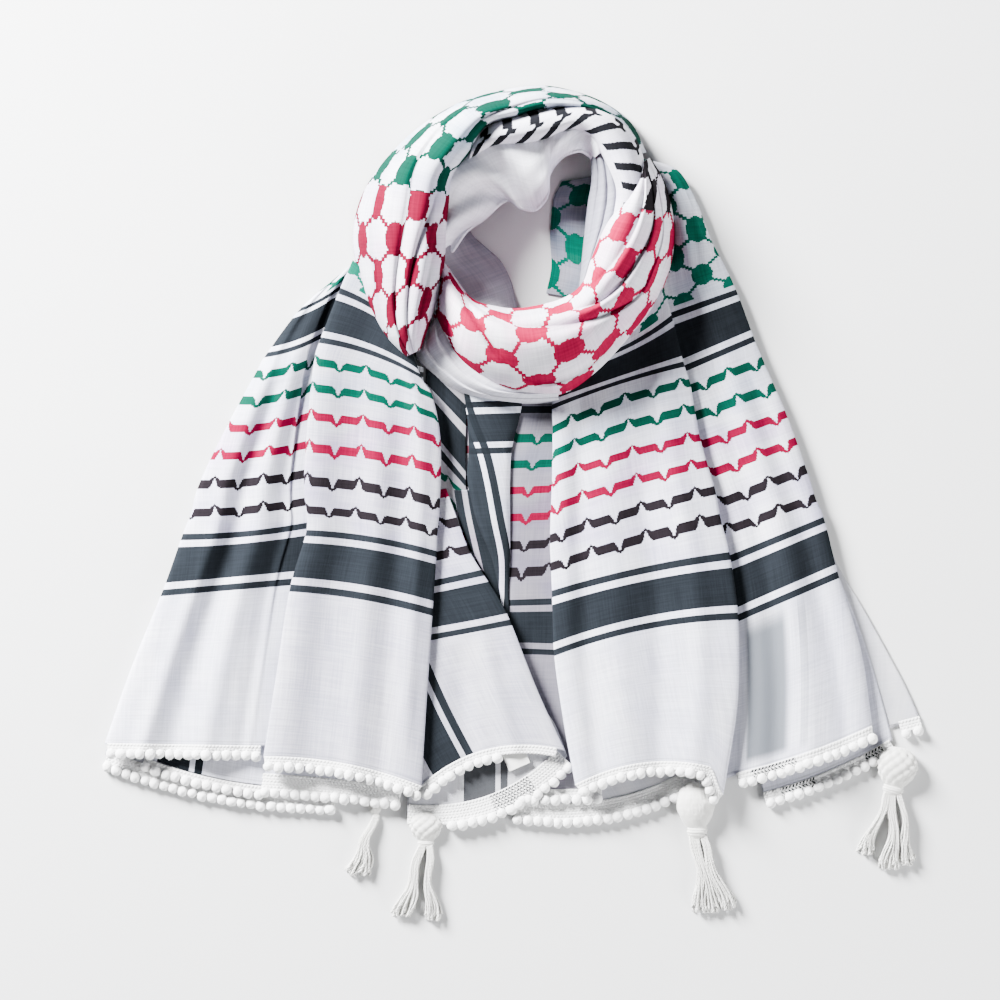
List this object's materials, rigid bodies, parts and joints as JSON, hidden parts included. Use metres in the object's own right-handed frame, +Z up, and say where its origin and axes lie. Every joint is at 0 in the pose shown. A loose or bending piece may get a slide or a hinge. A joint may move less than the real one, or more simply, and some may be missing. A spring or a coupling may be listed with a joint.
{
  "type": "hijab",
  "caption": "Printed voile hijab scarf laid flat, wound into a neck loop with two pleated tails, pompom hem trim and corner tassels.",
  "frame": {"origin": "on the table, under the middle of the scarf's width and length", "axes": "+Z up from the table that the scarf lies on, +Y from the hems towards the neck loop, +X to the right as seen from above"},
  "size_m": [0.6131, 0.624, 0.0592],
  "materials": {
    "voile": "white cotton voile with a printed pattern in green, red, black and slate",
    "pompom_trim": "woven cotton tape with fluffy pompoms",
    "tassel_yarn": "twisted off-white cotton yarn",
    "label_satin": "plain white satin tape"
  },
  "bodies": {
    "root": {"left_under_layers": "voile", "right_under_layers": "voile", "right_back_layer": "voile", "left_outer_pleat": "voile", "left_inner_pleat": "voile", "right_main_panel": "voile", "right_outer_panel": "voile", "right_inner_fold": "voile", "centre_front_fold": "voile", "centre_lower_layer": "voile", "centre_twist": "voile", "centre_deep_fold": "voile", "right_second_layer": "voile", "loop_outer_turn": "voile", "loop_top_turn": "voile", "loop_inner_collar": "voile", "hole_under_layer": "voile", "trim_left_lower": "pompom_trim", "trim_left_outer": "pompom_trim", "trim_left_inner": "pompom_trim", "trim_centre_fold": "pompom_trim", "trim_centre_lower": "pompom_trim", "trim_right_lower": "pompom_trim", "trim_inner_fold": "pompom_trim", "trim_right_main": "pompom_trim", "trim_right_outer": "pompom_trim", "trim_right_second": "pompom_trim", "trim_right_back": "pompom_trim", "tassel_left": "tassel_yarn", "tassel_centre": "tassel_yarn", "tassel_right": "tassel_yarn", "tassel_corner": "tassel_yarn", "care_label": "label_satin"}
  },
  "joints": []
}
